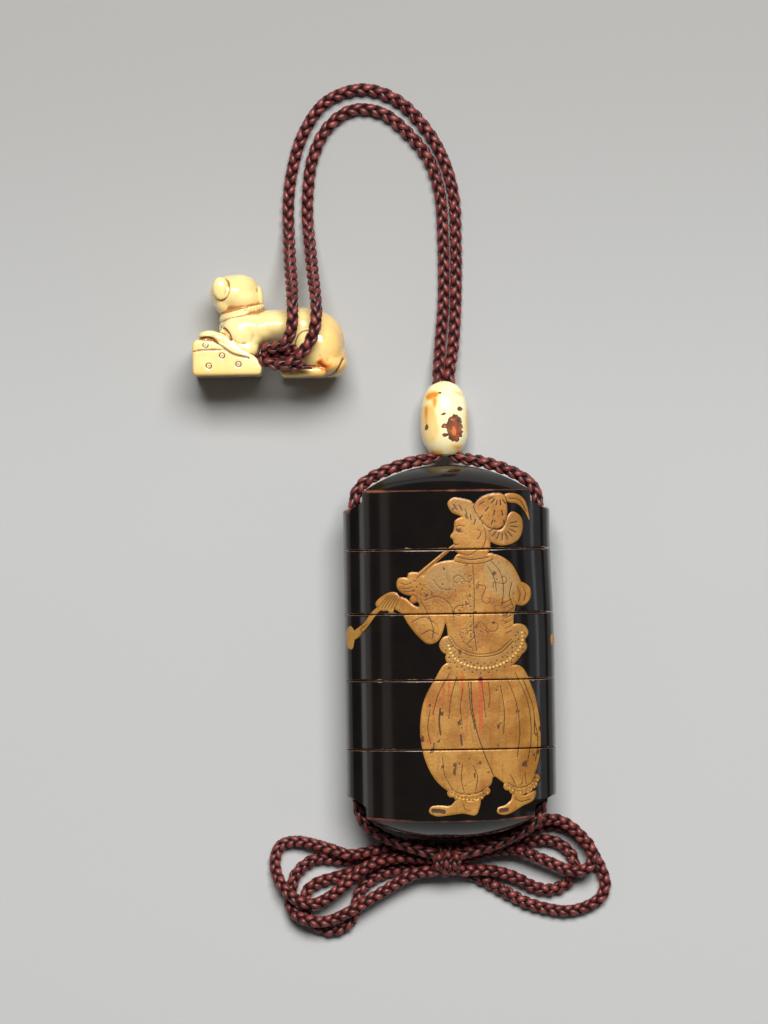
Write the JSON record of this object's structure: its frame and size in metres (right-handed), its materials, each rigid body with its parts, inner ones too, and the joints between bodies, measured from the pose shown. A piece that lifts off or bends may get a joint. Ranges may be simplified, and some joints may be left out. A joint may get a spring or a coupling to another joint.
{
  "type": "inro case with netsuke and ojime",
  "caption": "Lacquered stacking inro case with a lid, carried on a braided silk cord through side tunnels, with a bead, a carved dog toggle and a bow, lying on its back.",
  "frame": {"origin": "centre of the case's outline, on the surface that its back lies on", "axes": "+Y along the case from its bottom to its lid, +X to the right seen from the front, +Z out of the front"},
  "size_m": [0.098, 0.2048, 0.0245],
  "materials": {
    "lacquer": "polished black lacquer on wood, worn red-brown at the edges, with a gold picture",
    "bead": "polished cream, with orange-brown stains and a dark brown inlay",
    "ivory": "polished carved ivory-like material, honey in the hollows",
    "silk": "dark red braided silk"
  },
  "bodies": {
    "root": {"lid": "lacquer", "case_1": "lacquer", "case_2": "lacquer", "case_3": "lacquer", "case_4": "lacquer", "ojime_bead": "bead", "netsuke_dog": "ivory", "bow_knot": "silk", "cord_right": "silk", "cord_left": "silk", "cord_tail": "silk", "bow_left_upper": "silk", "bow_left_middle": "silk", "bow_left_lower": "silk", "bow_right_upper": "silk", "bow_right_middle": "silk", "bow_right_lower": "silk"}
  },
  "joints": []
}
